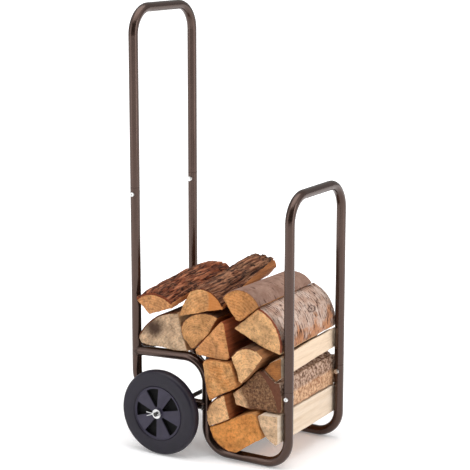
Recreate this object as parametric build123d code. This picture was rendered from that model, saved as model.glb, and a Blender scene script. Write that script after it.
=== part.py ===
from build123d import *
import math
import os

# Firewood log rack: a two-wheeled carrier bent from round steel tube, with its load of split logs.
# Millimetres. X runs from the tall push handle (rear) to the low hoop (front), Y across the axle,
# Z up from the ground. Sizes below are set out from the rear legs; every piece is then shifted so
# that the origin lies on the ground under the middle of the rack.

# ---- driving dimensions: frame tube
TUBE_R = 11.0                # 22 mm round tube
WALL = 1.5
BORE_R = TUBE_R - WALL
BEND_R = 55.0                # one bending die makes every bend in the side frames
LOOP_BEND_R = 59.0           # top corners of the handle and the hoop
LENGTH = 396.0               # rear leg to front riser, tube centre to tube centre
WIDTH = 240.0                # left side frame to right side frame, tube centre to tube centre
HALF = WIDTH / 2
HANDLE_TOP = 1000.0
HOOP_TOP = 615.0
REAR_SEAM = 591.0            # where the handle plugs into the rear legs
FRONT_SEAM = 179.0           # where the hoop plugs into the front risers
DROP_X = 188.5               # step between the rear shelf and the deep front bay
SHELF_REAR_Z = 213.5
SHELF_FRONT_Z = 222.5        # the shelf climbs slightly towards the front
BASE_Z = TUBE_R              # the base tubes lie on the ground

# ---- driving dimensions: plug-in joints
PLUG_LENGTH = 45.0
PLUG_R = BORE_R - 0.05
PLUG_BORE_R = 8.0
SHOULDER = 3.0
SEAM_CHAMFER = 0.5           # broken edge on both rims where a loop meets a leg
BOLT_BELOW_SEAM = 14.5
BOLT_R = 3.0
BOLT_HEAD_R = 4.8
BOLT_HEAD_HEIGHT = 3.4
DRIVE_SOCKET_R = 2.0         # hexagon recess, centre to corner
DRIVE_SOCKET_DEPTH = 2.0
NUT_ACROSS_CORNERS_R = 5.6
NUT_HEIGHT = 5.0
HEAD_FILLET = 1.0
FASTENER_SINK = 2.0          # head and nut are hollowed this deep to seat on the round tube

# ---- driving dimensions: running gear
WHEEL_R = 97.5
AXLE_X = 99.5
AXLE_Z = WHEEL_R
AXLE_R = 5.0
AXLE_HALF = 197.0
AXLE_CHAMFER = 1.0
NOTCH_DEPTH = 1.0            # the axle sits this deep in the underside of the rear leg's run
RUN_Z = AXLE_Z + AXLE_R + TUBE_R - NOTCH_DEPTH
SPACER_R = 8.0
SPACER_LENGTH = 12.0
INNER_WASHER_R = 13.0
OUTER_WASHER_R = 10.8
WASHER_T = 2.0
RUNNING_CLEARANCE = 0.05
END_FLOAT = 0.3              # side play between a wheel hub and its washers
PIN_R = 1.5
PIN_Y = 193.2
PIN_WIRE_R = 0.95
PIN_EYE_R = 2.6
PIN_LEG = 20.0
PIN_LEG_TURNS = (5, -20)    # the two legs are spread by these angles

# ---- driving dimensions: wheel
HUB_R = 13.0
HUB_INNER_Y = HALF + TUBE_R + SPACER_LENGTH + WASHER_T + END_FLOAT
HUB_OUTER_Y = 189.0
TYRE_INNER_Y = 160.0
TYRE_OUTER_Y = 187.5
RIM_R = 61.5
RIM_FACE_INSET = 1.5
TYRE_LIP = 2.0               # the side wall starts this far outside the rim's seat
POCKET_OUTER_R = 56.5
POCKET_INNER_R = 15.0
POCKET_DEPTH = 9.5
POCKET_HALF_ANGLE = 17.0
POCKET_INNER_HALF_ANGLE = 9.5
SPOKES = 5
FIRST_SPOKE_ANGLE = -3.0
TREAD_SHOULDER = 8.0

CENTRE = Pos(-LENGTH / 2, 0, 0)
SIDES = {"right": -1, "left": 1}

os.makedirs("parts", exist_ok=True)


def save(shape, node):
    """Write one named piece, moved into the rack's own frame."""
    moved = CENTRE * shape
    moved.label = node
    export_step(moved, f"parts/{node}.step")


def group(solids):
    """Identical pieces that share a node but stay separate solids."""
    return Compound(children=list(solids))


def tube(path, outer=TUBE_R, inner=BORE_R):
    """Round tube along a path of straight runs and arcs."""
    section = Plane(origin=path @ 0, z_dir=path % 0) * (Circle(outer) - Circle(inner))
    return sweep(section, path=path)


def rod_z(radius, x, y, z_low, z_high):
    """Upright solid cylinder."""
    return Pos(x, y, (z_low + z_high) / 2) * Cylinder(radius, z_high - z_low)


def rod_y(radius, x, z, y_a, y_b):
    """Solid cylinder across the rack, parallel to the axle."""
    return Pos(x, (y_a + y_b) / 2, z) * Rot(90, 0, 0) * Cylinder(radius, abs(y_b - y_a))


def rod_x(radius, y, z, x_a, x_b):
    """Solid cylinder along the length of the rack."""
    return Pos((x_a + x_b) / 2, y, z) * Rot(0, 90, 0) * Cylinder(radius, abs(x_b - x_a))


def seam_groove(x, y, seam):
    """Shallow V all round a joint, cut half from the rim above and half from the rim below."""
    waist = TUBE_R - SEAM_CHAMFER
    band = rod_z(TUBE_R + 1, x, y, seam - SEAM_CHAMFER, seam + SEAM_CHAMFER)
    lower = Pos(x, y, seam - SEAM_CHAMFER / 2) * Cone(TUBE_R, waist, SEAM_CHAMFER)
    upper = Pos(x, y, seam + SEAM_CHAMFER / 2) * Cone(waist, TUBE_R, SEAM_CHAMFER)
    return band - lower - upper


# ---- the two U-shaped loops that plug into the legs --------------------------------------------
def plug(x, y, seam):
    """Reduced lower end of a loop: it slides into the leg below and its shoulder meets the rim."""
    stem = rod_z(PLUG_R, x, y, seam - PLUG_LENGTH, seam + SHOULDER)
    shoulder = rod_z(TUBE_R, x, y, seam, seam + SHOULDER)
    return stem + shoulder - rod_z(PLUG_BORE_R, x, y, seam - PLUG_LENGTH, seam + SHOULDER)


def loop_tube(x, top, seam):
    """Inverted U with a plug on each leg, cross-drilled for the joint bolts."""
    crest = top - TUBE_R
    path = FilletPolyline(
        (x, -HALF, seam + SHOULDER), (x, -HALF, crest),
        (x, HALF, crest), (x, HALF, seam + SHOULDER),
        radius=LOOP_BEND_R,
    )
    loop = tube(path)
    for side in SIDES.values():
        loop += plug(x, side * HALF, seam)
    for side in SIDES.values():
        loop -= seam_groove(x, side * HALF, seam)
    return loop - rod_y(BOLT_R, x, seam - BOLT_BELOW_SEAM, -HALF - TUBE_R, HALF + TUBE_R)


# ---- bent lower frame --------------------------------------------------------------------------
def rear_leg(y):
    """Upright leg that turns forward above the wheel and ends, coped, against the step tube."""
    path = FilletPolyline((0, y, REAR_SEAM), (0, y, RUN_Z), (DROP_X, y, RUN_Z), radius=BEND_R)
    leg = tube(path) - rod_z(TUBE_R, DROP_X, y, 0, 2 * RUN_Z)
    leg -= rod_y(AXLE_R, AXLE_X, AXLE_Z, y - 2 * TUBE_R, y + 2 * TUBE_R)
    leg -= seam_groove(0, y, REAR_SEAM)
    return leg - rod_y(BOLT_R, 0, REAR_SEAM - BOLT_BELOW_SEAM, y - TUBE_R, y + TUBE_R)


def side_frame(y):
    """One tube: shelf, step down to the ground, base, and the riser that takes the hoop."""
    path = FilletPolyline(
        (0, y, SHELF_REAR_Z), (DROP_X, y, SHELF_FRONT_Z),
        (DROP_X, y, BASE_Z), (LENGTH, y, BASE_Z), (LENGTH, y, FRONT_SEAM),
        radius=BEND_R,
    )
    frame = tube(path)
    frame -= rod_z(TUBE_R, 0, y, SHELF_REAR_Z - 4 * TUBE_R, SHELF_REAR_Z + 4 * TUBE_R)
    frame -= seam_groove(LENGTH, y, FRONT_SEAM)
    return frame - rod_y(BOLT_R, LENGTH, FRONT_SEAM - BOLT_BELOW_SEAM, y - TUBE_R, y + TUBE_R)


def rear_cross_bar():
    """Straight tube between the rear legs, coped at both ends."""
    line = Line((0, -HALF, SHELF_REAR_Z), (0, HALF, SHELF_REAR_Z))
    bar = tube(line)
    for side in SIDES.values():
        y = side * HALF
        bar -= rod_z(TUBE_R, 0, y, SHELF_REAR_Z - 2 * TUBE_R, SHELF_REAR_Z + 2 * TUBE_R)
        bar -= shelf_line(y) * Cylinder(TUBE_R, 8 * TUBE_R)
    return bar


def shelf_line(y):
    """Place where local Z runs along one shelf tube, from its rear end."""
    tilt = math.degrees(math.atan2(SHELF_FRONT_Z - SHELF_REAR_Z, DROP_X))
    return Pos(0, y, SHELF_REAR_Z) * Rot(0, 90 - tilt, 0)


# ---- weld beads --------------------------------------------------------------------------------
BEAD = 2.2                   # leg length of the fillet welds
AXLE_BEAD_HALF = 7.0         # half the length of the weld along the axle
AXLE_BEAD_RISE = 1.5         # it starts this far above the axle's middle


def saddle_bead(main, main_fat, branch, branch_fat, side_of_joint):
    """Weld bead in the corner all round where a coped tube meets another tube."""
    return (main_fat & branch_fat & side_of_joint) - main - branch


def shelf_bead(y):
    """Weld between the shelf tube and the rear leg."""
    low, high = SHELF_REAR_Z - 3 * TUBE_R, SHELF_REAR_Z + 3 * TUBE_R
    reach = 4 * TUBE_R
    along = shelf_line(y)
    half_space = Pos(reach / 2, y, SHELF_REAR_Z) * Box(reach, reach, reach)
    bead = saddle_bead(
        rod_z(TUBE_R, 0, y, low, high), rod_z(TUBE_R + BEAD, 0, y, low, high),
        along * Cylinder(TUBE_R, 2 * reach), along * Cylinder(TUBE_R + BEAD, 2 * reach), half_space,
    )
    return bead - rod_y(TUBE_R, 0, SHELF_REAR_Z, -HALF, HALF)


def run_bead(y):
    """Weld between the rear leg's run and the step tube."""
    low, high = RUN_Z - 3 * TUBE_R, RUN_Z + 3 * TUBE_R
    reach = 4 * TUBE_R
    half_space = Pos(DROP_X - reach / 2, y, RUN_Z) * Box(reach, reach, reach)
    return saddle_bead(
        rod_z(TUBE_R, DROP_X, y, low, high), rod_z(TUBE_R + BEAD, DROP_X, y, low, high),
        rod_x(TUBE_R, y, RUN_Z, DROP_X - reach, DROP_X + reach),
        rod_x(TUBE_R + BEAD, y, RUN_Z, DROP_X - reach, DROP_X + reach), half_space,
    )


def cross_bar_bead(side):
    """Weld between the cross bar and one rear leg."""
    y = side * HALF
    low, high = SHELF_REAR_Z - 3 * TUBE_R, SHELF_REAR_Z + 3 * TUBE_R
    reach = 4 * TUBE_R
    half_space = Pos(0, y - side * reach / 2, SHELF_REAR_Z) * Box(reach, reach, reach)
    bead = saddle_bead(
        rod_z(TUBE_R, 0, y, low, high), rod_z(TUBE_R + BEAD, 0, y, low, high),
        rod_y(TUBE_R, 0, SHELF_REAR_Z, y - reach, y + reach),
        rod_y(TUBE_R + BEAD, 0, SHELF_REAR_Z, y - reach, y + reach), half_space,
    )
    return bead - shelf_line(y) * Cylinder(TUBE_R + BEAD, 8 * TUBE_R)


def axle_bead(y):
    """Weld that wraps the axle where it sits in the notch under the rear leg's run."""
    collar = rod_y(AXLE_R + 2 * BEAD, AXLE_X, AXLE_Z, y - AXLE_BEAD_HALF, y + AXLE_BEAD_HALF)
    upper_half = Pos(AXLE_X, y, AXLE_Z + AXLE_BEAD_RISE + TUBE_R)
    above_axle = upper_half * Box(4 * TUBE_R, 2 * TUBE_R, 2 * TUBE_R)
    bead = collar & above_axle & rod_x(TUBE_R + BEAD, y, RUN_Z, 0, DROP_X)
    bead -= rod_x(TUBE_R, y, RUN_Z, 0, DROP_X)
    return bead - rod_y(AXLE_R, AXLE_X, AXLE_Z, y - 2 * TUBE_R, y + 2 * TUBE_R)


# ---- joint fasteners ---------------------------------------------------------------------------
def joint_places():
    """Leg centres and bolt heights of the four plug-in joints, with the side each one is on."""
    for x, seam in ((0, REAR_SEAM), (LENGTH, FRONT_SEAM)):
        for side in SIDES.values():
            yield x, side, seam - BOLT_BELOW_SEAM


def joint_bolt(x, side, z):
    """Low-head bolt with a hexagon recess, driven through the leg from the outside."""
    y = side * HALF
    outer = y + side * (TUBE_R + BOLT_HEAD_HEIGHT - 1)
    inner = y - side * (TUBE_R + NUT_HEIGHT + 1)
    head = rod_y(BOLT_HEAD_R, x, z, y + side * (TUBE_R - FASTENER_SINK), outer)
    rim = head.faces().sort_by(Axis.Y)[-1 if side > 0 else 0].edges()
    head = fillet(rim, HEAD_FILLET) - rod_z(TUBE_R, x, y, z - 2 * TUBE_R, z + 2 * TUBE_R)
    recess_plane = Plane(origin=(x, outer, z), z_dir=(0, side, 0))
    recess = extrude(recess_plane * RegularPolygon(DRIVE_SOCKET_R, 6), amount=-DRIVE_SOCKET_DEPTH)
    return head + rod_y(BOLT_R, x, z, inner, outer - side) - recess


def joint_nut(x, side, z):
    """Hexagon nut on the inner end of the bolt, hollowed to sit on the round tube."""
    y = side * HALF
    start = y - side * (TUBE_R - FASTENER_SINK)
    face = Plane(origin=(x, start, z), z_dir=(0, -side, 0))
    nut = extrude(face * RegularPolygon(NUT_ACROSS_CORNERS_R, 6), amount=NUT_HEIGHT + 1)
    nut -= rod_z(TUBE_R, x, y, z - 2 * TUBE_R, z + 2 * TUBE_R)
    return nut - rod_y(BOLT_R, x, z, y - 2 * TUBE_R, y + 2 * TUBE_R)


# ---- running gear ------------------------------------------------------------------------------
def axle():
    """Plain steel rod, chamfered, with a cross hole for the split pin at each end."""
    rod = rod_y(AXLE_R, AXLE_X, AXLE_Z, -AXLE_HALF, AXLE_HALF)
    ends = rod.edges().filter_by(GeomType.CIRCLE)
    rod = chamfer(ends, AXLE_CHAMFER)
    for side in SIDES.values():
        rod -= rod_x(PIN_R, side * PIN_Y, AXLE_Z, AXLE_X - 2 * AXLE_R, AXLE_X + 2 * AXLE_R)
    return rod


def axle_rings(radius, start, length):
    """A pair of washers or spacers on the axle, one each side."""
    rings = []
    for side in SIDES.values():
        near, far = side * start, side * (start + length)
        ring = rod_y(radius, AXLE_X, AXLE_Z, near, far)
        rings.append(ring - rod_y(AXLE_R, AXLE_X, AXLE_Z, near, far))
    return group(rings)


def split_pin(side):
    """Cotter: a ring head towards the front, a shank through the axle, two spread legs behind."""
    y = side * PIN_Y
    shank_half = AXLE_R + PIN_WIRE_R
    eye_x = AXLE_X + shank_half + PIN_EYE_R
    pin = rod_x(PIN_R, y, AXLE_Z, AXLE_X - shank_half, AXLE_X + shank_half)
    pin += Pos(eye_x, y, AXLE_Z) * Rot(90, 0, 0) * Torus(PIN_EYE_R, PIN_WIRE_R)
    for turn in PIN_LEG_TURNS:
        leg = Pos(AXLE_X - AXLE_R, y, AXLE_Z) * Rot(0, -90 + turn, 0)
        pin += leg * Pos(0, 0, PIN_LEG / 2) * Cylinder(PIN_WIRE_R, PIN_LEG)
    return pin


def wheel_rim(side):
    """Moulded rim: barrel, closed middle web, five wedge spokes on each face and a long hub."""
    inner_face = TYRE_INNER_Y + RIM_FACE_INSET
    outer_face = TYRE_OUTER_Y - RIM_FACE_INSET
    rim = rod_y(RIM_R, AXLE_X, AXLE_Z, side * inner_face, side * outer_face)
    rim += rod_y(HUB_R, AXLE_X, AXLE_Z, side * HUB_INNER_Y, side * HUB_OUTER_Y)
    pocket_step = 360 / SPOKES
    for index in range(SPOKES):
        wedge = pocket_outline(FIRST_SPOKE_ANGLE + pocket_step * (index + 0.5))
        for face_y, direction in ((outer_face, -1), (inner_face, 1)):
            plane = Plane(
                origin=(AXLE_X, side * face_y, AXLE_Z), x_dir=(1, 0, 0), z_dir=(0, -1, 0)
            )
            rim -= extrude(plane * wedge, amount=POCKET_DEPTH * -side * direction)
    return rim - rod_y(AXLE_R + RUNNING_CLEARANCE, AXLE_X, AXLE_Z, 0, side * AXLE_HALF)


def pocket_outline(angle):
    """Wedge between two spokes, narrow at the hub and wide at the rim."""
    def corner(radius, offset):
        turn = math.radians(angle + offset)
        return radius * math.cos(turn), radius * math.sin(turn)

    outer_low, outer_mid, outer_high = (
        corner(POCKET_OUTER_R, share * POCKET_HALF_ANGLE) for share in (-1, 0, 1)
    )
    inner_low, inner_high = (
        corner(POCKET_INNER_R, share * POCKET_INNER_HALF_ANGLE) for share in (-1, 1)
    )
    with BuildSketch() as sketch:
        with BuildLine():
            ThreePointArc(outer_low, outer_mid, outer_high)
            Polyline(outer_high, inner_high, inner_low, outer_low)
        make_face()
    return sketch.sketch


def tyre(side):
    """Solid tyre: rounded tread and flat side walls, pressed on the rim."""
    half_width = (TYRE_OUTER_Y - TYRE_INNER_Y) / 2
    middle = side * (TYRE_INNER_Y + TYRE_OUTER_Y) / 2
    seat = half_width - RIM_FACE_INSET
    wall_top = WHEEL_R - TREAD_SHOULDER
    lip = RIM_R + TYRE_LIP
    with BuildSketch(Plane.XY) as section:
        with BuildLine():
            Polyline(
                (wall_top, half_width), (lip, half_width), (RIM_R, seat),
                (RIM_R, -seat), (lip, -half_width), (wall_top, -half_width),
            )
            EllipticalCenterArc(
                (wall_top, 0), TREAD_SHOULDER, half_width, start_angle=-90, arc_size=180
            )
        make_face()
    ring = revolve(section.sketch, axis=Axis.Y)
    return Pos(AXLE_X, middle, AXLE_Z) * ring


# ---- firewood ----------------------------------------------------------------------------------
def log(near_end, length, outline, rise=0.0, drift=0.0):
    """Split log lying across the rack.

    outline lists (x, z) corners of its end; a corner given as ("bark", x, z, x, z) rounds the side
    from the corner before it through a first point to a second. rise tips the far end upwards, and
    drift swings it towards the front.
    """
    start = outline[0]
    with BuildSketch(Plane.XY) as section:
        with BuildLine():
            here = start
            for step in [*outline[1:], start]:
                if step[0] == "bark":
                    ThreePointArc(here, (step[1], step[2]), (step[3], step[4]))
                    here = (step[3], step[4])
                elif step != here:
                    Line(here, step)
                    here = step
        make_face()
    body = extrude(section.sketch, amount=length)
    pivot = Pos(start[0], near_end, start[1])
    tip = Rot(math.degrees(math.atan2(rise, length)), 0, -math.degrees(math.atan2(drift, length)))
    upright = Pos(-start[0], length, -start[1]) * Rot(90, 0, 0) * body
    return pivot * tip * upright


LOGS = {
    "log_rear_slab": log(-148, 257, [
        (17, 342), (52, 309.6), (117, 334), (117, 346), ("bark", 64, 362.5, 17, 342),
        ], rise=25, drift=7),
    "log_top_slab": log(-138, 264, [
        (127, 314), (197, 335), (241, 345), (241, 352), ("bark", 206, 385, 160, 378), (139, 345),
        ], rise=26, drift=-6),
    "log_shelf_stained": log(-131, 262, [
        (12, 248), (20, 235), (104, 231), (144, 233), (136, 258), (118, 321),
        ("bark", 56, 300, 12, 250),
        ]),
    "log_shelf_round": log(-138, 258, [
        (148, 256), (160, 243), (200, 279), (228, 325), ("bark", 190, 330, 143, 309),
        ("bark", 132, 284, 148, 256),
        ]),
    "log_shelf_wedge": log(-150, 285, [
        (243, 321), (176, 247), (180, 237), (259, 236), (265, 243), (250, 318),
        ]),
    "log_grey_round": log(-142, 244, [
        (241.5, 372), (276, 328), (284, 324.5), (326, 361.5), (334, 365),
        ("bark", 292, 396, 241.5, 372),
        ], rise=4),
    "log_birch_quarter": log(-130, 252, [
        (264, 304), (306, 286), (330, 275), (378, 261), (383, 265), ("bark", 372.5, 322, 327, 359.5),
        ], rise=4),
    "log_bay_square": log(-156, 290, [
        (199, 221), (204, 229), (228, 232.5), (266, 232.5), (272, 229), (285, 183), (280, 176),
        (241, 156), (216, 138), (209, 158),
        ]),
    "log_bay_hexagon": log(-152, 280, [
        (271, 248), (275, 233), (284, 215), (290, 193), (296, 190), (325, 222), (349, 256),
        (333, 269), ("bark", 300, 271, 271, 248),
        ]),
    "log_bay_splinter": log(-130, 265, [
        (341, 223), (370, 200), (383, 209), (383, 255.5), (356, 241),
        ], rise=3),
    "log_bay_dark": log(-131, 262, [
        (262, 157), (271, 132), (298, 128.5), (383, 131), ("bark", 384.3, 168, 379, 199),
        (370, 196.5), (341, 219.5), (326, 218), (286, 177),
        ]),
    "log_bay_pale": log(-152, 282, [
        (208, 94), (213, 77.5), (266, 104), (252, 156), (243, 152.5), ("bark", 220, 136, 207, 112),
        ]),
    "log_floor_orange": log(-148, 280, [
        (212, 74), ("bark", 231, 40, 277, 27), (348, 73), (338, 98), (330, 121), (321, 125),
        (284, 110),
        ]),
    "log_floor_pale": log(-145, 277, [
        (333, 119), (340.5, 98), (355.5, 75), (378, 61.5), (384, 66), (384, 127.5), (340, 124.5),
        ]),
}


# ---- build every piece -------------------------------------------------------------------------
save(loop_tube(0, HANDLE_TOP, REAR_SEAM), "handle_tube")
save(loop_tube(LENGTH, HOOP_TOP, FRONT_SEAM), "front_hoop_tube")
save(rear_cross_bar(), "rear_cross_bar")
save(axle(), "axle_rod")
for name, side in SIDES.items():
    save(side_frame(side * HALF), f"side_frame_{name}")
    save(rear_leg(side * HALF), f"rear_leg_{name}")
    save(wheel_rim(side), f"wheel_rim_{name}")
    save(tyre(side), f"tyre_{name}")
    save(split_pin(side), f"split_pin_{name}")
save(group(joint_bolt(*place) for place in joint_places()), "joint_bolts")
save(group(joint_nut(*place) for place in joint_places()), "joint_nuts")
leg_face = HALF + TUBE_R
spacer_end = leg_face + SPACER_LENGTH
save(axle_rings(SPACER_R, leg_face, SPACER_LENGTH), "axle_spacers")
save(axle_rings(INNER_WASHER_R, spacer_end, WASHER_T), "inner_washers")
save(axle_rings(OUTER_WASHER_R, HUB_OUTER_Y + END_FLOAT, WASHER_T), "outer_washers")
save(group(shelf_bead(s * HALF) for s in SIDES.values()), "shelf_welds")
save(group(run_bead(s * HALF) for s in SIDES.values()), "run_welds")
save(group(cross_bar_bead(s) for s in SIDES.values()), "cross_bar_welds")
save(group(axle_bead(s * HALF) for s in SIDES.values()), "axle_welds")
for node, solid in LOGS.items():
    save(solid, node)
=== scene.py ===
import math
import bmesh
import bpy
import numpy as np
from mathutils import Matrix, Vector, noise


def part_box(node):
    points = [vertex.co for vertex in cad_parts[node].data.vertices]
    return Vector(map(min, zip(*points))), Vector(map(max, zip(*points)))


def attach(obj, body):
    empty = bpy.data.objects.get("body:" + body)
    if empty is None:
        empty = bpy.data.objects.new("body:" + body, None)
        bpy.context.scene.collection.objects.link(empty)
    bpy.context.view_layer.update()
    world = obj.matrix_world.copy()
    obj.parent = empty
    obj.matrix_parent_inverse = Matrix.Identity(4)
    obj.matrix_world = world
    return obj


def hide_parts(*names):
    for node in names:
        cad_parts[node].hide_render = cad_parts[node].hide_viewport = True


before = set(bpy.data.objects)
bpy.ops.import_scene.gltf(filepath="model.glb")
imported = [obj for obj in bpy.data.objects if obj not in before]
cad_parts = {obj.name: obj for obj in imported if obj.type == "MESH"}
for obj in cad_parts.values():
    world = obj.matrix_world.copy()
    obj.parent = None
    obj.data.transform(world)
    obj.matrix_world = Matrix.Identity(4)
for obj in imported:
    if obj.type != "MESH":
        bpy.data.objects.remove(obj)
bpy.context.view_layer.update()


# ---- studio ------------------------------------------------------------------------------------
# The rack stands on a seamless white floor. The room is bright to both sides, grey behind the rack
# and dark behind the camera, which itself sees plain white. A wide softbox hangs overhead, a tall
# one stands to each side and a weak one fills from the front. The long lens looks down a little.
FLOOR_HALF = 30.0
GLOW_FROM = 0.6              # past the rack's shadow the floor turns pure white
GLOW_TO = 2.2
CAMERA_PLACE = (1.66604, -2.80181, 1.18229)
CAMERA_TILT = 78.84          # degrees up from straight down
CAMERA_TURN = 31.09
CAMERA_SHIFT = (0.0119, -0.0532)
LENS_MM = 113.22
SENSOR_MM = 36.0
TOWARD_CAMERA = (0.50, -0.84, 0.20)
AIM_HEIGHT = 0.35


def add(tree, kind, inputs=(), **settings):
    """A shader node; each input is a number, a colour or the socket that feeds it."""
    made = tree.nodes.new("ShaderNode" + kind)
    for name, value in settings.items():
        setattr(made, name, value)
    for key, value in dict(inputs).items():
        if isinstance(value, bpy.types.NodeSocket):
            tree.links.new(value, made.inputs[key])
        else:
            made.inputs[key].default_value = value
    return made


def ramp(tree, source, *stops):
    """Colours or greys along a 0 to 1 value."""
    made = add(tree, "ValToRGB", {"Fac": source})
    elements = made.color_ramp.elements
    while len(elements) < len(stops):
        elements.new(0.5)
    for element, (position, shade) in zip(elements, stops):
        element.position = position
        element.color = shade if isinstance(shade, tuple) else (shade, shade, shade, 1)
    return made.outputs[0]


camera_data = bpy.data.cameras.new("camera")
camera = bpy.data.objects.new("camera", camera_data)
bpy.context.collection.objects.link(camera)
camera.location = CAMERA_PLACE
camera.rotation_euler = (math.radians(CAMERA_TILT), 0, math.radians(CAMERA_TURN))
camera_data.sensor_width = SENSOR_MM
camera_data.lens = LENS_MM
camera_data.shift_x, camera_data.shift_y = CAMERA_SHIFT
bpy.context.scene.camera = camera
bpy.context.scene.view_settings.view_transform = "Standard"

bpy.ops.object.select_all(action="DESELECT")
bpy.ops.mesh.primitive_plane_add(size=2 * FLOOR_HALF, location=(0, 0, 0))
floor = bpy.context.object
floor.name = "floor"
floor_paint = bpy.data.materials.new("white_floor")
floor_paint.use_nodes = True
floor_shader = floor_paint.node_tree.nodes["Principled BSDF"]
floor_shader.inputs["Base Color"].default_value = (0.93, 0.93, 0.935, 1)
floor_shader.inputs["Roughness"].default_value = 0.9
floor_shader.inputs["Specular IOR Level"].default_value = 0.1
floor_shader.inputs["Emission Color"].default_value = (1, 1, 1, 1)
floor_tree = floor_paint.node_tree
# Painted light: the floor glows, weakly under the rack, which lightens the rack's shadow, and more strongly
# further out, where it turns pure white.
floor_reach = add(floor_tree, "VectorMath", {
    0: add(floor_tree, "TexCoord").outputs["Object"]}, operation="LENGTH").outputs["Value"]
floor_painted_glow = add(floor_tree, "MapRange", {
    "Value": floor_reach, "From Min": GLOW_FROM, "From Max": GLOW_TO, "To Min": 0.2, "To Max": 0.8,
}).outputs[0]
floor_tree.links.new(floor_painted_glow, floor_shader.inputs["Emission Strength"])
floor.data.materials.append(floor_paint)

world = bpy.data.worlds.new("white_room")
bpy.context.scene.world = world
world.use_nodes = True
room = world.node_tree
room_light = room.nodes["Background"]
toward = add(room, "TexCoord").outputs["Generated"]
front = add(room, "VectorMath", {0: toward, 1: TOWARD_CAMERA}, operation="DOT_PRODUCT")
around = add(room, "MapRange", {"Value": front.outputs["Value"], "From Min": -1.0}).outputs[0]
room_shade = ramp(room, around, (0.0, 0.3), (0.4, 0.42), (0.58, 0.95), (0.74, 1.0), (0.86, 0.1),
                  (1.0, 0.02))
room.links.new(room_shade, room_light.inputs["Color"])
room_light.inputs["Strength"].default_value = 1.4
backdrop = add(room, "Background", {"Color": (1, 1, 1, 1), "Strength": 1.05})
seen = add(room, "LightPath").outputs["Is Camera Ray"]
room_mix = add(room, "MixShader", {0: seen, 1: room_light.outputs[0], 2: backdrop.outputs[0]})
room.links.new(room_mix.outputs[0], room.nodes["World Output"].inputs["Surface"])


def softbox(name, place, size, power, mirrored=True):
    """A rectangular lamp that faces the middle of the rack; tubes may mirror it."""
    lamp = bpy.data.lights.new(name, "AREA")
    lamp.shape = "RECTANGLE"
    lamp.size, lamp.size_y = size
    lamp.energy = power
    holder = bpy.data.objects.new(name, lamp)
    bpy.context.collection.objects.link(holder)
    holder.location = place
    aim = Vector((0, 0, AIM_HEIGHT)) - Vector(place)
    holder.rotation_euler = aim.to_track_quat("-Z", "Y").to_euler()
    holder.visible_glossy = mirrored


softbox("overhead", (0.1, -0.3, 2.6), (2.4, 2.4), 40)
softbox("left_side", (-1.35, -2.35, 1.1), (0.7, 2.2), 8.5)
softbox("right_side", (2.6, 0.05, 1.1), (0.7, 2.2), 16)
softbox("front_fill", (0.2, -3.0, 1.5), (1.6, 1.2), 5, mirrored=False)


# ---- frame tubes -------------------------------------------------------------------------------
# Round 22 mm steel tube, cold bent, plugged and welded into the handle, the hoop, the two side
# frames, the rear legs and the bar across the back. All of it carries one satin bronze-brown
# powder coat, which lies in a very fine orange peel and holds a little metal flake.
def display(red, green, blue):
    """Linear colour of a shade given as 0-255 display values."""
    return (*((part / 255) ** 2.2 for part in (red, green, blue)), 1.0)


def mixed(tree, share, one, other, how="MIX"):
    """One colour turned into another by a share from 0 to 1."""
    inputs = {0: share, 6: one, 7: other}
    return add(tree, "Mix", inputs, data_type="RGBA", blend_type=how).outputs[2]


def sums(tree, how, one, other=0.0):
    """One arithmetic step on two values."""
    return add(tree, "Math", {0: one, 1: other}, operation=how).outputs[0]


def finish_of(name):
    """A new material with its node tree and its main shader."""
    material = bpy.data.materials.new(name)
    material.use_nodes = True
    tree = material.node_tree
    return material, tree, tree.nodes["Principled BSDF"]


def grain(tree, place, scale, detail=2.0, roughness=0.5):
    """Soft noise value at a place."""
    inputs = {"Vector": place, "Scale": scale, "Detail": detail, "Roughness": roughness}
    return add(tree, "TexNoise", inputs).outputs[0]


def bumped(tree, shader, height, depth, strength=1.0):
    """Feeds a height, in units of depth metres, to a shader's normal."""
    bump = add(tree, "Bump", {"Height": height, "Distance": depth, "Strength": strength})
    tree.links.new(bump.outputs[0], shader.inputs["Normal"])


def powder_coat(name, ripple):
    """The bronze coat; ripple is how far the weld runs under it show through."""
    material, tree, shader = finish_of(name)
    place = add(tree, "TexCoord").outputs["Object"]
    flake = grain(tree, place, 2600)
    cloud = grain(tree, place, 14, 3)
    coat = ramp(tree, flake, (0.3, display(58, 43, 37)), (0.72, display(85, 66, 58)))
    coat = mixed(tree, ramp(tree, cloud, (0.35, 0.0), (0.75, 0.22)), coat, display(56, 41, 34))
    tree.links.new(coat, shader.inputs["Base Color"])
    satin = ramp(tree, cloud, (0.3, 0.18), (0.75, 0.25))
    tree.links.new(satin, shader.inputs["Roughness"])
    shader.inputs["Metallic"].default_value = 0.8
    shader.inputs["Coat Weight"].default_value = 0.3
    shader.inputs["Coat Roughness"].default_value = 0.14
    peel = grain(tree, place, 750, 1)
    if ripple:
        runs = add(tree, "TexWave", {
            "Vector": place, "Scale": 170, "Distortion": 2.5, "Detail": 1,
        }, bands_direction="DIAGONAL").outputs["Fac"]
        peel = sums(tree, "ADD", sums(tree, "MULTIPLY", runs, ripple), peel)
    bumped(tree, shader, peel, 0.00012)
    return material


def dress(nodes, material):
    """Gives CAD nodes that keep their shape a better finish."""
    for name in nodes:
        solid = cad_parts[name]
        for place in range(len(solid.material_slots)):
            solid.material_slots[place].material = material


dress((
    "handle_tube", "front_hoop_tube", "side_frame_left", "side_frame_right",
    "rear_leg_left", "rear_leg_right", "rear_cross_bar",
), powder_coat("bronze_powder_coat", 0))


# ---- weld beads --------------------------------------------------------------------------------
# Fillet welds all round the coped tube ends and over the axle. The steel ran in small ripples as
# the torch moved, and the powder coat over it is a little thicker in the corners.
dress(("shelf_welds", "run_welds", "cross_bar_welds", "axle_welds"),
      powder_coat("bronze_over_weld", 4.0))


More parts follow.
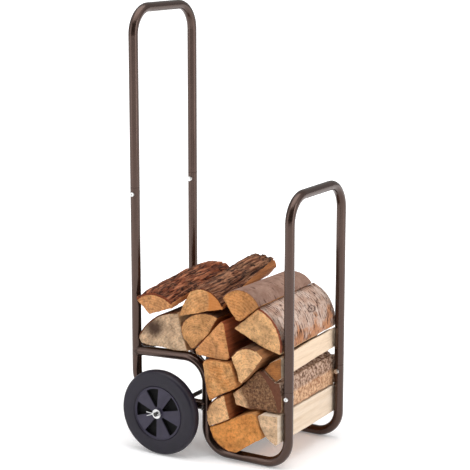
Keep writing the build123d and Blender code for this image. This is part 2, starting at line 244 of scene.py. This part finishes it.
# ---- bolts and nuts of the plug-in joints ------------------------------------------------------
# Zinc-plated M6 bolts with a low round head and a hexagon recess, and plain nuts inside. The
# plating is bright on the crowns and a little cloudy, with fine rubbing marks.
def zinc(name, shade, rough):
    """Bright zinc plate, faintly clouded and rubbed."""
    material, tree, shader = finish_of(name)
    place = add(tree, "TexCoord").outputs["Object"]
    cloud = grain(tree, place, 180, 4)
    rub = grain(tree, add(tree, "Mapping", {
        "Vector": place, "Scale": (1, 0.15, 1),
    }).outputs[0], 2200, 2)
    dull = tuple(0.72 * part for part in shade[:3]) + (1,)
    tree.links.new(ramp(tree, cloud, (0.3, dull), (0.7, shade)), shader.inputs["Base Color"])
    tree.links.new(ramp(tree, rub, (0.3, rough), (0.8, rough + 0.18)), shader.inputs["Roughness"])
    shader.inputs["Metallic"].default_value = 1.0
    bumped(tree, shader, rub, 0.00004)
    return material


dress(("joint_bolts", "joint_nuts"), zinc("bright_zinc", display(226, 226, 224), 0.24))


# ---- axle, spacers, washers and split pins -----------------------------------------------------
# A plain 10 mm steel rod through both wheels, kept by a washer and a split pin at each end. The
# washers and pins are bright plate; the sawn rod is darker, with an oily bloom.
dress(("inner_washers", "outer_washers", "split_pin_left", "split_pin_right"),
      zinc("washer_zinc", display(222, 222, 222), 0.2))
dress(("axle_rod", "axle_spacers"), zinc("sawn_steel", display(84, 83, 82), 0.36))


# ---- wheels ------------------------------------------------------------------------------------
# Each wheel is two mouldings: a hard five-spoke plastic rim and a solid tyre pressed on it. The
# tyre has a crowned plain tread, with the mould's parting line round its middle, and smooth side
# walls with a rounded lip at the rim. Both are blue-black and satin.
WHEEL_STEPS = 144
WALL_TOP_IN = 0.008          # the crown starts this far in from the tread
WALL_RUNS = (0.007, 0.009)   # the side wall swells over these, and then comes back
WALL_SWELL = 0.0003
LIP_EDGE = (0.0010, 0.0006)
LIP = 0.002
PARTING_LINE = 0.0003
# The black in the rim's spoke pockets is painted shade.
POCKET_SHADE_DEPTH = 0.0028        # pockets turn black this far inside the tyre's faces


def alone(piece):
    """Makes a piece the only one selected, and the active one."""
    bpy.ops.object.select_all(action="DESELECT")
    piece.select_set(True)
    bpy.context.view_layer.objects.active = piece


def pick(mesh, test):
    """Selects the vertices that pass a test on their place, in edit mode."""
    bpy.ops.mesh.select_mode(type="VERT")
    bpy.ops.mesh.select_all(action="DESELECT")
    cells = bmesh.from_edit_mesh(mesh)
    for corner in cells.verts:
        if test(corner.co):
            corner.select_set(True)
    cells.select_flush(True)
    bmesh.update_edit_mesh(mesh)


def wheel_plastic(name, light, dark, rough, recess=None):
    """Satin moulded plastic with a spark-eroded texture; deep in its spoke pockets it is painted near black
    as shade, with a duller roughness.
    """
    material, tree, shader = finish_of(name)
    place = add(tree, "TexCoord").outputs["Object"]
    dust = grain(tree, place, 40, 5, 0.6)
    fine = grain(tree, place, 1900, 2)
    shade = ramp(tree, dust, (0.3, dark), (0.75, light))
    rough_shade = ramp(tree, dust, (0.3, rough), (0.8, rough + 0.14))
    if recess:
        middle, near_face = recess
        across = add(tree, "SeparateXYZ", {"Vector": place}).outputs[1]
        off_middle = sums(tree, "ABSOLUTE", sums(tree, "SUBTRACT", sums(tree, "ABSOLUTE", across), middle))
        pocket_shade = add(tree, "MapRange", {
            "Value": off_middle, "From Min": near_face, "From Max": near_face - 0.002}).outputs[0]
        # Painted shade: deep in the spoke pockets the colour turns near black.
        shade = mixed(tree, pocket_shade, shade, display(5, 4, 5))
        rough_shade = mixed(tree, pocket_shade, rough_shade, (0.85, 0.85, 0.85, 1))
    tree.links.new(shade, shader.inputs["Base Color"])
    tree.links.new(rough_shade, shader.inputs["Roughness"])
    shader.inputs["Specular IOR Level"].default_value = 0.32
    bumped(tree, shader, fine, 0.00009)
    return material


tyre_rubber = wheel_plastic("satin_tyre", display(34, 29, 42), display(24, 20, 31), 0.42)
tyre_low, tyre_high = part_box("tyre_left")
tyre_middle = (tyre_low.y + tyre_high.y) / 2
# The rim's spoke pockets get painted shade.
rim_plastic = wheel_plastic("satin_rim", display(56, 52, 68), display(46, 42, 56), 0.4,
                            (tyre_middle, (tyre_high.y - tyre_low.y) / 2 - POCKET_SHADE_DEPTH))

for side in ("right", "left"):
    low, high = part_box(f"tyre_{side}")
    axle = (low + high) / 2
    tread_r = (high.z - low.z) / 2
    half_width = (high.y - low.y) / 2
    rim_low, rim_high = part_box(f"wheel_rim_{side}")
    seat_r = (rim_high.z - rim_low.z) / 2
    crown_r = tread_r - WALL_TOP_IN

    bpy.ops.object.select_all(action="DESELECT")
    bpy.ops.mesh.primitive_circle_add(
        vertices=48, radius=1, rotation=(0, math.pi / 2, 0),
        location=(axle.x, axle.y, axle.z + crown_r),
    )
    tyre = bpy.context.object
    tyre.name = f"moulded_tyre_{side}"
    bpy.ops.object.transform_apply(location=True, rotation=True, scale=True)
    bpy.ops.object.mode_set(mode="EDIT")
    bpy.ops.mesh.select_all(action="SELECT")
    bpy.ops.transform.resize(
        value=(1, half_width, WALL_TOP_IN), center_override=(axle.x, axle.y, axle.z + crown_r))
    pick(tyre.data, lambda p: p.z < axle.z + crown_r - 1e-5)
    bpy.ops.mesh.delete(type="VERT")
    top = axle.z + tread_r
    pick(tyre.data, lambda p: p.z > top - 1e-5)
    bpy.ops.transform.translate(value=(0, 0, PARTING_LINE))
    for hand in (-1, 1):
        wall_y = axle.y + hand * half_width
        pick(tyre.data, lambda p: abs(p.y - wall_y) < 1e-5)
        last_run = crown_r - sum(WALL_RUNS) - seat_r - LIP - sum(LIP_EDGE)
        for step_in, step_y in (
            (WALL_RUNS[0], WALL_SWELL), (WALL_RUNS[1], 0.0001), (last_run, -WALL_SWELL),
            (LIP_EDGE[0], -0.0003), (LIP_EDGE[1], -0.0006), (LIP, -0.0012), (0.0, -0.004),
        ):
            bpy.ops.mesh.extrude_region_move(
                TRANSFORM_OT_translate={"value": (0, hand * step_y, -step_in)})
    seat_z = axle.z + seat_r
    pick(tyre.data, lambda p: abs(p.z - seat_z) < 1e-4 and abs(p.y - axle.y) < half_width - 0.004)
    bpy.ops.mesh.edge_face_add()
    bpy.ops.mesh.select_all(action="SELECT")
    bpy.ops.mesh.spin(
        steps=WHEEL_STEPS, angle=2 * math.pi, center=axle, axis=(0, 1, 0))
    bpy.ops.mesh.select_all(action="SELECT")
    bpy.ops.mesh.remove_doubles(threshold=1e-5)
    bpy.ops.mesh.normals_make_consistent(inside=False)
    bpy.ops.object.mode_set(mode="OBJECT")
    bpy.ops.object.shade_smooth_by_angle(angle=math.radians(40))
    tyre.data.materials.append(tyre_rubber)
    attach(tyre, f"wheel_{side}")
    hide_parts(f"tyre_{side}")

    rim = bpy.data.objects.new(
        f"spoked_rim_{side}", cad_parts[f"wheel_rim_{side}"].data.copy())
    bpy.context.collection.objects.link(rim)
    alone(rim)
    bpy.ops.object.mode_set(mode="EDIT")
    bpy.ops.mesh.customdata_custom_splitnormals_clear()
    bpy.ops.mesh.select_all(action="SELECT")
    bpy.ops.mesh.remove_doubles(threshold=1e-5)
    bpy.ops.mesh.dissolve_limited(angle_limit=math.radians(1.5))
    bpy.ops.object.mode_set(mode="OBJECT")
    softened = rim.modifiers.new("softened", "BEVEL")
    softened.width = 0.0009
    softened.segments = 3
    softened.limit_method = "ANGLE"
    softened.angle_limit = math.radians(35)
    bpy.ops.object.modifier_apply(modifier="softened")
    outward = 1 if side == "left" else -1
    face_y = axle.y + outward * (half_width - 0.0015)
    bpy.ops.object.select_all(action="DESELECT")
    bpy.ops.mesh.primitive_torus_add(
        major_segments=WHEEL_STEPS, minor_segments=10, major_radius=seat_r - 0.0012,
        minor_radius=0.0011, rotation=(math.pi / 2, 0, 0), location=(axle.x, face_y, axle.z))
    ring = bpy.context.object
    bpy.ops.object.transform_apply(location=True, rotation=True, scale=True)
    alone(rim)
    ring.select_set(True)
    bpy.ops.object.join()
    bpy.ops.object.shade_smooth_by_angle(angle=math.radians(30))
    rim.data.materials.clear()
    rim.data.materials.append(rim_plastic)
    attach(rim, f"wheel_{side}")
    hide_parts(f"wheel_rim_{side}")


# ---- firewood: how every log is made -----------------------------------------------------------
# Air-dried birch, beech, oak and pine, sawn to length and riven with an axe. The ends are sawn
# across the rings, the split faces run with the fibre, and what is left of the round keeps its
# bark. Each log takes the outline of its CAD solid and is then worked over in small cells.
CELL = 0.0023
END_FACING = 0.72            # how squarely a spot faces along the log to count as a sawn end
NEAR_TUBE = 0.004            # relief fades out over this last stretch towards the upright tubes
TUBE_CLEARANCE = 0.0002
upright_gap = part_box("front_hoop_tube")[0].x - TUBE_CLEARANCE


def soft_step(value, start, end):
    """0 before start, 1 after end, smooth between."""
    share = np.clip((value - start) / (end - start), 0, 1)
    return share * share * (3 - 2 * share)


def noise_at(places, across, along, seed):
    """Noise at many places, at its own pitch across and along the log."""
    return np.array([
        noise.noise(Vector((x * across + seed, y * along + 0.37 * seed, z * across)))
        for x, y, z in places.tolist()
    ])


def bark_depth(places, arcs, share, rise, drift, creep):
    """Millimetres that each spot lies inside the bark, negative in the wood, over all arcs."""
    deepest = np.full(len(places), -9.0)
    for mid_x, mid_z, radius, first, end, thick in arcs:
        start = first + creep * share
        dx = (places[:, 0] - drift * share) * 1000 - mid_x
        dz = (places[:, 2] - rise * share) * 1000 - mid_z
        turn = np.degrees(np.arctan2(dz, dx))
        turn = np.where(turn < first - 90, turn + 360, turn)
        along_arc = np.minimum(turn - start, end - turn) * math.radians(1) * radius
        deepest = np.maximum(deepest, np.minimum(np.hypot(dx, dz) - radius + thick, along_arc))
    return deepest


def riven(places, seed):
    """Relief of a split face: long shallow ridges and torn fibre."""
    broad = noise_at(places, 26, 9, seed)
    ridge = noise_at(places, 120, 7, seed + 5)
    torn = noise_at(places, 210, 22, seed + 9)
    return 0.0019 * broad + 0.0010 * ridge + 0.0007 * torn


def sawn(places, seed):
    """Relief of a sawn end: slightly dished and rough."""
    return 0.0015 * noise_at(places, 42, 42, seed + 21) + 0.0008 * noise_at(places, 170, 9, seed)


def smooth_bark(places, seed):
    """Relief of thin bark: a slow wave and a few wrinkles across the log."""
    wrinkle = noise_at(places, 30, 190, seed + 3)
    return 0.0009 * noise_at(places, 22, 12, seed) + 0.00025 * wrinkle


def split_log(node, seed, arcs=(), relief=smooth_bark, rise=0.0, drift=0.0, creep=0.0, shape=None):
    """A log in small cells, worked as riven, sawn and bark-covered skin. Each arc of bark is its
    middle's x and z, its radius, its first and last degree and the bark's thickness, in mm. At the
    far end the arc lies higher by rise and to the front by drift, in metres, and starts later by
    creep degrees. shape may bend the finished skin."""
    log = bpy.data.objects.new(node.replace("log_", "firewood_"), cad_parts[node].data.copy())
    bpy.context.collection.objects.link(log)
    alone(log)
    bpy.ops.object.mode_set(mode="EDIT")
    bpy.ops.mesh.customdata_custom_splitnormals_clear()
    bpy.ops.mesh.select_all(action="SELECT")
    bpy.ops.mesh.remove_doubles(threshold=1e-5)
    bpy.ops.object.mode_set(mode="OBJECT")
    cells = log.modifiers.new("cells", "REMESH")
    cells.mode = "VOXEL"
    cells.voxel_size = CELL
    bpy.ops.object.modifier_apply(modifier="cells")
    mesh = log.data
    places = np.empty(len(mesh.vertices) * 3, np.float32)
    facing = np.empty(len(mesh.vertices) * 3, np.float32)
    mesh.vertices.foreach_get("co", places)
    mesh.vertices.foreach_get("normal", facing)
    places, facing = places.reshape(-1, 3), facing.reshape(-1, 3)
    low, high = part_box(node)
    share = (places[:, 1] - low.y) / (high.y - low.y)
    depth = bark_depth(places, arcs, share, rise, drift, creep)
    at_end = soft_step(np.abs(facing[:, 1]), END_FACING - 0.2, END_FACING + 0.1)
    in_bark = soft_step(depth, -0.6, 0.6)
    skin = riven(places, seed) * (1 - in_bark) + relief(places, seed) * in_bark
    push = skin * (1 - at_end) + sawn(places, seed) * at_end
    fade = np.clip((upright_gap - np.abs(places[:, 0])) / NEAR_TUBE, 0, 1)
    push = np.where(push > 0, push * fade, push)
    moved = places + facing * push[:, None]
    moved[:, 0] = np.clip(moved[:, 0], -upright_gap, upright_gap)
    if shape:
        shape(moved, share)
    mesh.vertices.foreach_set("co", moved.astype(np.float32).ravel())
    for name, values in (("bark", depth), ("end", at_end)):
        layer = mesh.attributes.new(name, "FLOAT", "POINT")
        layer.data.foreach_set("value", values.astype(np.float32))
    for face in mesh.polygons:
        face.use_smooth = True
    mesh.update()
    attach(log, "firewood_load")
    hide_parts(node)
    return log


def thin_bark(tree, place, along):
    """Colour, cut colour and height of a thin dark-brown bark."""
    plates = grain(tree, along, 160, 6, 0.65)
    skin = ramp(tree, plates, (0.3, display(52, 36, 27)), (0.52, display(96, 68, 50)),
                (0.75, display(128, 98, 78)))
    return skin, display(92, 54, 34), plates


def firewood_finish(name, end, split, bark=thin_bark, pith=(0, 0), gap=0.0034, bow=5.0,
                    blush=(160, 98, 52), blush_share=0.35, speckles=0.6, stain=None):
    """Wood with its rings round a pith, long fibre on the split faces, and bark outside."""
    material, tree, shader = finish_of(name)
    place = add(tree, "TexCoord").outputs["Object"]
    from_pith = add(tree, "Mapping", {
        "Vector": place, "Location": (-pith[0] / 1000, 0, -pith[1] / 1000)}).outputs[0]
    along = add(tree, "Mapping", {"Vector": place, "Scale": (1, 0.05, 1)}).outputs[0]
    rings = add(tree, "TexWave", {
        "Vector": from_pith, "Scale": 0.314 / gap, "Distortion": bow, "Detail": 3,
        "Detail Scale": 0.35, "Detail Roughness": 0.6,
    }, wave_type="RINGS", rings_direction="Y").outputs["Fac"]
    fibre = grain(tree, along, 900, 4, 0.6)
    streak = grain(tree, along, 95, 6, 0.62)
    pores = grain(tree, along, 520, 5, 0.75)
    blotch = grain(tree, place, 26, 4, 0.6)

    light, dark = (display(*shade) for shade in end)
    ringed = ramp(tree, rings, (0.12, dark), (0.62, light))
    face = mixed(tree, 0.5, mixed(tree, 0.25, light, dark), ringed)
    speckle = ramp(tree, pores, (0.34, 0.6), (0.5, 1.0), (0.7, 1.1))
    rubbed = grain(tree, place, 150, 6, 0.75)
    mottle = ramp(tree, rubbed, (0.38, 0.5), (0.49, 0.97), (0.62, 1.16))
    tone = ramp(tree, grain(tree, place, 45, 3, 0.5), (0.36, 0.72), (0.6, 1.06))
    face = mixed(tree, ramp(tree, blotch, (0.42, 0.0), (0.68, blush_share)), face, display(*blush))
    face = mixed(tree, speckles, face, speckle, "MULTIPLY")
    face = mixed(tree, 0.85, face, mottle, "MULTIPLY")
    face = mixed(tree, 1.0, face, tone, "MULTIPLY")
    if stain:
        face = stain(tree, place, face)

    light, dark = (display(*shade) for shade in split)
    side = ramp(tree, streak, (0.34, dark), (0.58, light))
    side = mixed(tree, 0.5, side, ramp(tree, fibre, (0.3, 0.8), (0.65, 1.08)), "MULTIPLY")

    skin, cut, relief = bark(tree, place, along)
    at_end = add(tree, "Attribute", attribute_name="end").outputs["Fac"]
    at_end = ramp(tree, at_end, (0.35, 0.0), (0.6, 1.0))
    depth = add(tree, "Attribute", attribute_name="bark").outputs["Fac"]
    ragged = sums(tree, "MULTIPLY", sums(tree, "SUBTRACT", grain(tree, place, 210, 3), 0.5), 3.2)
    in_bark = add(tree, "MapRange", {
        "Value": sums(tree, "ADD", depth, ragged), "From Min": 0.0, "From Max": 0.35}).outputs[0]
    skin = mixed(tree, at_end, skin, cut)
    shade = mixed(tree, in_bark, mixed(tree, at_end, side, face), skin)
    tree.links.new(shade, shader.inputs["Base Color"])

    end_height = sums(tree, "ADD", sums(tree, "MULTIPLY", rings, 0.25), pores)
    end_height = sums(tree, "ADD", end_height, sums(tree, "MULTIPLY", rubbed, 1.6))
    side_height = sums(tree, "ADD", sums(tree, "MULTIPLY", streak, 0.9), fibre)
    height = mixed(tree, in_bark, mixed(tree, at_end, side_height, end_height),
                   sums(tree, "MULTIPLY", relief, 2.2))
    bumped(tree, shader, height, 0.0011, 0.8)
    rough = ramp(tree, in_bark, (0.0, 0.72), (1.0, 0.88))
    tree.links.new(rough, shader.inputs["Roughness"])
    shader.inputs["Specular IOR Level"].default_value = 0.25
    return material


def coat(log, material):
    """Gives a log its only material."""
    log.data.materials.clear()
    log.data.materials.append(material)


# ---- firewood: the course on the base tubes ----------------------------------------------------
# Three pieces lie on the bent base: a resinous orange quarter with close rings and drying checks,
# a grey-pale birch split at its front, and a tan split that leans in the rear corner.
coat(split_log("log_floor_orange", 3.1, [(70, 83, 57, 189, 279, 3.0)]),
     firewood_finish("orange_pine", ((220, 151, 82), (195, 122, 59)), ((196, 140, 88), (168, 108, 60)),
                     pith=(118, 84), gap=0.0031, blush=(192, 110, 46)))
coat(split_log("log_floor_pale", 7.7),
     firewood_finish("pale_split", ((224, 189, 152), (207, 167, 128)), ((228, 208, 186), (214, 190, 163)),
                     pith=(190, 30), gap=0.0038, blush=(176, 143, 114)))
coat(split_log("log_bay_pale", 12.4, [(69, 95, 62, 112, 164, 3.0)]),
     firewood_finish("tan_split", ((229, 181, 132), (212, 158, 106)), ((176, 112, 70), (140, 82, 48)),
                     pith=(100, 90), gap=0.0042, blush=(205, 151, 104)))


# ---- firewood: the middle of the bay -----------------------------------------------------------
# A rough-sawn orange block, a tan round-backed split, a thin wedge with a clean pale side, and a
# weathered log whose end has gone grey-brown under whitish flaking bark.
def flaking_bark(tree, place, along):
    """Whitish plates that curl off an orange inner bark."""
    plates = add(tree, "TexVoronoi", {
        "Vector": along, "Scale": 95, "Randomness": 1.0}, feature="DISTANCE_TO_EDGE").outputs[0]
    crust = grain(tree, place, 130, 6, 0.7)
    pale = ramp(tree, crust, (0.36, display(60, 40, 31)), (0.48, display(140, 108, 88)),
                (0.6, display(198, 170, 150)))
    inner = ramp(tree, crust, (0.36, display(126, 76, 46)), (0.6, display(216, 176, 140)))
    height = add(tree, "SeparateXYZ", {"Vector": place}).outputs[2]
    lower = add(tree, "MapRange", {
        "Value": sums(tree, "ADD", height, sums(tree, "MULTIPLY", crust, 0.02)),
        "From Min": 0.180, "From Max": 0.174}).outputs[0]
    skin = mixed(tree, lower, pale, inner)
    return skin, display(100, 64, 48), sums(tree, "ADD", crust, sums(tree, "MULTIPLY", plates, 1.5))


def flaky_relief(places, seed):
    """Relief of bark that lifts in plates."""
    return (0.0022 * np.abs(noise_at(places, 70, 40, seed))
            + 0.0012 * noise_at(places, 170, 90, seed + 2) - 0.001)


def weathered(tree, place, face):
    """Grey-brown weathering over all but the lower left of the end."""
    spot = add(tree, "SeparateXYZ", {"Vector": place})
    wander = sums(tree, "MULTIPLY", grain(tree, place, 60, 4), 0.03)
    from_left = sums(tree, "ADD", spot.outputs[0], wander)
    from_corner = sums(tree, "ADD", from_left, sums(tree, "MULTIPLY", spot.outputs[2], 0.5))
    share = add(tree, "MapRange", {
        "Value": from_corner, "From Min": 0.174, "From Max": 0.188}).outputs[0]
    grit = ramp(tree, grain(tree, place, 170, 7, 0.85), (0.41, display(50, 32, 23)),
                (0.5, display(102, 70, 48)), (0.6, display(152, 112, 80)))
    return mixed(tree, sums(tree, "MULTIPLY", share, 0.94), face, grit)


coat(split_log("log_bay_square", 15.2),
     firewood_finish("orange_block", ((202, 140, 83), (180, 113, 59)), ((180, 122, 74), (150, 94, 52)),
                     pith=(40, 300), gap=0.006, bow=9, blush=(232, 180, 120), blush_share=0.6, speckles=1.0))
coat(split_log("log_bay_hexagon", 18.9, [(116, 224, 49, 67, 151, 3.0)]),
     firewood_finish("tan_round_back", ((226, 180, 130), (206, 153, 101)), ((150, 104, 68), (118, 78, 50)),
                     pith=(118, 214), gap=0.005, blush=(214, 147, 84)))


def lifted(moved, share):
    """Tips the wedge's far end up against the log that lies on it."""
    moved[:, 2] += 0.007 * share


coat(split_log("log_bay_splinter", 21.3, rise=0.003, shape=lifted),
     firewood_finish("orange_wedge", ((163, 106, 58), (137, 83, 42)), ((230, 206, 180), (214, 186, 156)),
                     pith=(150, 330), gap=0.004, blush=(120, 72, 40)))
coat(split_log("log_bay_dark", 24.8, [(28, 104, 157, -5, 60, 5.0)], flaky_relief),
     firewood_finish("weathered_log", ((234, 192, 148), (214, 168, 122)), ((170, 128, 94), (140, 100, 70)),
                     bark=flaking_bark, pith=(60, 120), gap=0.005, stain=weathered))


# ---- firewood: the three on the rear shelf -----------------------------------------------------
# A wide birch split with a dark stain on its end, a golden round-backed split, and an orange
# wedge that stands on its broad side.
def stained(tree, place, face):
    """Dark water stain, left of the middle of the end."""
    spot = add(tree, "Mapping", {
        "Vector": place, "Location": (0.145, 0, -0.3726), "Scale": (1, 0, 1.35)}).outputs[0]
    reach = add(tree, "VectorMath", {0: spot}, operation="LENGTH").outputs["Value"]
    wander = sums(tree, "MULTIPLY", grain(tree, place, 70, 5, 0.7), 0.034)
    share = add(tree, "MapRange", {
        "Value": sums(tree, "ADD", reach, wander), "From Min": 0.064, "From Max": 0.024,
    }, interpolation_type="SMOOTHSTEP").outputs[0]
    return mixed(tree, sums(tree, "MULTIPLY", share, 0.94), face, display(56, 34, 25))


coat(split_log("log_shelf_stained", 27.5, [(-71, 193, 128, 94, 154, 3.5)]),
     firewood_finish("stained_birch", ((210, 180, 148), (194, 158, 123)), ((196, 156, 116), (170, 128, 90)),
                     pith=(-40, 190), gap=0.007, blush=(176, 132, 96), stain=stained))
coat(split_log("log_shelf_round", 30.2, [(1, 248, 83, 69, 132, 2.4), (-33, 284, 33, 132, 239, 2.4)]),
     firewood_finish("golden_round", ((204, 152, 100), (184, 126, 76)), ((190, 134, 84), (160, 106, 62)),
                     pith=(-20, 262), gap=0.0045, blush=(176, 118, 66)))
coat(split_log("log_shelf_wedge", 33.6),
     firewood_finish("orange_upright", ((200, 140, 88), (184, 119, 69)), ((160, 86, 52), (116, 60, 36)),
                     pith=(40, 420), gap=0.006, blush=(212, 156, 106)))


# ---- firewood: the birch quarter ---------------------------------------------------------------
# A quarter of a big birch, pale gold on its end. Its bark is pinkish white paper over a thick
# red-brown layer, crossed by short dark pores, with one eye-shaped scar where a branch grew.
KNOT = (0.1703, 0.0306, 0.3257)


def birch_bark(tree, place, along):
    """Pinkish-white bark with dark pores that run round the log, tan patches low down and a knot."""
    bands = add(tree, "Mapping", {"Vector": place, "Scale": (0.28, 1.5, 0.28)}).outputs[0]
    cloud = grain(tree, place, 34, 5, 0.65)
    paper = ramp(tree, cloud, (0.34, display(170, 136, 117)), (0.62, display(196, 174, 160)))
    level = add(tree, "SeparateXYZ", {"Vector": place}).outputs[2]
    low_down = add(tree, "MapRange", {
        "Value": level, "From Min": 0.335, "From Max": 0.285, "To Min": -0.12, "To Max": 0.08}).outputs[0]
    patches = sums(tree, "ADD", grain(tree, place, 26, 5, 0.65), low_down)
    paper = mixed(tree, ramp(tree, patches, (0.5, 0.0), (0.6, 0.8)), paper, display(178, 116, 72))
    smears = ramp(tree, grain(tree, bands, 75, 5, 0.7), (0.53, 0.0), (0.63, 0.6))
    marks = ramp(tree, grain(tree, bands, 200, 3, 0.55), (0.555, 0.0), (0.625, 0.95))
    small = ramp(tree, grain(tree, bands, 460, 3, 0.6), (0.56, 0.0), (0.68, 0.6))
    skin = mixed(tree, smears, paper, display(128, 92, 78))
    skin = mixed(tree, small, skin, display(122, 84, 68))
    skin = mixed(tree, marks, skin, display(66, 40, 32))
    off_knot = add(tree, "Mapping", {
        "Vector": place, "Location": tuple(-1.0 * part for part in KNOT)}).outputs[0]
    from_knot = add(tree, "VectorMath", {
        0: add(tree, "Mapping", {"Vector": off_knot, "Scale": (1.5, 0.65, 1.5)}).outputs[0],
    }, operation="LENGTH").outputs["Value"]
    eye = add(tree, "MapRange", {
        "Value": sums(tree, "ADD", from_knot, sums(tree, "MULTIPLY", grain(tree, place, 130, 4), 0.012)),
        "From Min": 0.0, "From Max": 0.021}).outputs[0]
    scar = ramp(tree, eye, (0.3, 0.95), (0.44, 0.85), (0.55, 0.15), (0.7, 0.2), (0.78, 0.85), (0.95, 0.0))
    skin = mixed(tree, scar, skin, display(62, 36, 28))
    height = sums(tree, "SUBTRACT", cloud, sums(tree, "MULTIPLY", marks, 0.8))
    return skin, display(128, 70, 50), sums(tree, "SUBTRACT", height, scar)


coat(split_log("log_birch_quarter", 36.9, [(101, 279, 85, -9, 71, 5.0)], rise=0.004),
     firewood_finish("birch_quarter", ((224, 178, 127), (206, 151, 98)), ((214, 178, 138), (190, 146, 102)),
                     bark=birch_bark, pith=(70, 262), gap=0.0028, bow=3, blush=(210, 155, 102)))


# ---- firewood: the grey round ------------------------------------------------------------------
# A half round of young wood under smooth grey-mauve bark with a few dark pores. Its end is
# golden orange, with the saw's arcs across it, and it gets thinner towards its far end.
def grey_bark(tree, place, along):
    """Smooth grey-mauve bark with fine lines and a few dark scars."""
    bands = add(tree, "Mapping", {"Vector": place, "Scale": (0.35, 1.2, 0.35)}).outputs[0]
    scar = ramp(tree, grain(tree, bands, 90, 4, 0.55), (0.61, 0.0), (0.67, 0.85))
    cloud = grain(tree, place, 45, 6, 0.7)
    lines = grain(tree, along, 300, 4, 0.6)
    skin = ramp(tree, cloud, (0.3, display(117, 86, 73)), (0.7, display(151, 122, 107)))
    skin = mixed(tree, 0.5, skin, ramp(tree, lines, (0.3, 0.8), (0.7, 1.1)), "MULTIPLY")
    return mixed(tree, scar, skin, display(70, 43, 35)), display(122, 76, 50), cloud


def thinned(moved, share):
    """Lowers the back of the half round towards its far end."""
    above = np.maximum(moved[:, 2] - 0.352, 0)
    moved[:, 2] -= 0.22 * share * above


coat(split_log("log_grey_round", 40.1, [(88, 344, 53, 24, 148, 2.6)], rise=0.004, shape=thinned),
     firewood_finish("golden_half_round", ((198, 140, 86), (176, 114, 62)), ((186, 130, 80), (156, 100, 58)),
                     bark=grey_bark, pith=(60, 300), gap=0.0065, bow=4, blush=(170, 106, 54)))


# ---- firewood: the two furrowed slabs on top ---------------------------------------------------
# Outer slabs of old oak or pine, all thick bark on top: deep furrows along the trunk between
# corky ridges, red-brown inside and grey outside. They lie across the pile and bow a little.
def furrowed_relief(places, seed):
    """Deep cracks along the trunk between corky ridges."""
    crack = np.clip(1 - 3.4 * np.abs(noise_at(places, 72, 9, seed)), 0, 1)
    small = np.clip(1 - 2.6 * np.abs(noise_at(places, 130, 24, seed + 4)), 0, 1)
    swell = noise_at(places, 24, 14, seed + 11)
    return 0.0022 + 0.0022 * swell - 0.0062 * crack ** 1.3 - 0.0022 * small


WORN = 1.45                  # how much paler the rubbed crests of the ridges are


def furrowed_bark(ridge, furrow_shade, red):
    """Bark whose hollows are painted near black as shade and whose flanks show red cork."""
    def bark(tree, place, along):
        stretch = add(tree, "Mapping", {"Vector": place, "Scale": (1, 0.085, 1)}).outputs[0]
        cork = grain(tree, stretch, 92, 5, 0.62)
        off_crack = sums(tree, "ABSOLUTE", sums(tree, "SUBTRACT", cork, 0.5))
        cloud = grain(tree, place, 30, 4)
        top = mixed(tree, ramp(tree, cloud, (0.4, 0.0), (0.62, 0.8)), display(*ridge), display(*red))
        worn = tuple(WORN * part for part in ridge)
        top = mixed(tree, ramp(tree, off_crack, (0.07, 0.0), (0.15, 0.85)), top, display(*worn))
        # Painted shade: the bottoms of the cracks turn near black.
        skin = mixed(tree, ramp(tree, off_crack, (0.008, 1.0), (0.05, 0.0)), top, display(*furrow_shade))
        return skin, display(*red), sums(tree, "MULTIPLY", off_crack, 4.0)
    return bark


def bowed(moved, share):
    """Arches the slab."""
    moved[:, 2] += 0.005 * np.sin(math.pi * share)


def narrowed(moved, share):
    """Lifts and draws in the slab's front edge towards its far end."""
    edge = share * np.clip((moved[:, 0] - 0.010) / 0.027, 0, 1.2)
    moved[:, 2] += 0.016 * edge
    moved[:, 0] -= 0.006 * edge


def reddened(tree, place, face):
    """Orange heartwood over the front half of the end."""
    spot = add(tree, "SeparateXYZ", {"Vector": place}).outputs[0]
    wander = sums(tree, "MULTIPLY", grain(tree, place, 80, 4), 0.012)
    share = add(tree, "MapRange", {
        "Value": sums(tree, "ADD", spot, wander), "From Min": 0.010, "From Max": 0.016,
    }).outputs[0]
    return mixed(tree, sums(tree, "MULTIPLY", share, 0.8), face, display(186, 114, 56))


# The second colour of each furrowed bark is the painted shade in its cracks.
coat(split_log("log_rear_slab", 43.3, [(-129, 286, 76, 51, 133, 5.0)], furrowed_relief,
               rise=0.025, drift=0.007, shape=bowed),
     firewood_finish("red_oak_slab", ((200, 144, 94), (180, 118, 70)), ((176, 118, 74), (140, 88, 54)),
                     bark=furrowed_bark((124, 80, 58), (38, 20, 14), (114, 58, 36)),
                     pith=(-135, 269), gap=0.006, blush=(168, 106, 66)))
coat(split_log("log_top_slab", 47.7, [(-8, 333, 54, 20, 124, 2.8)], furrowed_relief,
               rise=0.026, drift=-0.006, creep=22, shape=narrowed),
     firewood_finish("grey_oak_slab", ((214, 160, 106), (194, 134, 80)), ((176, 112, 64), (118, 72, 42)),
                     bark=furrowed_bark((114, 80, 60), (36, 20, 15), (96, 53, 34)),
                     pith=(20, 290), gap=0.006, blush=(190, 118, 58), stain=reddened))
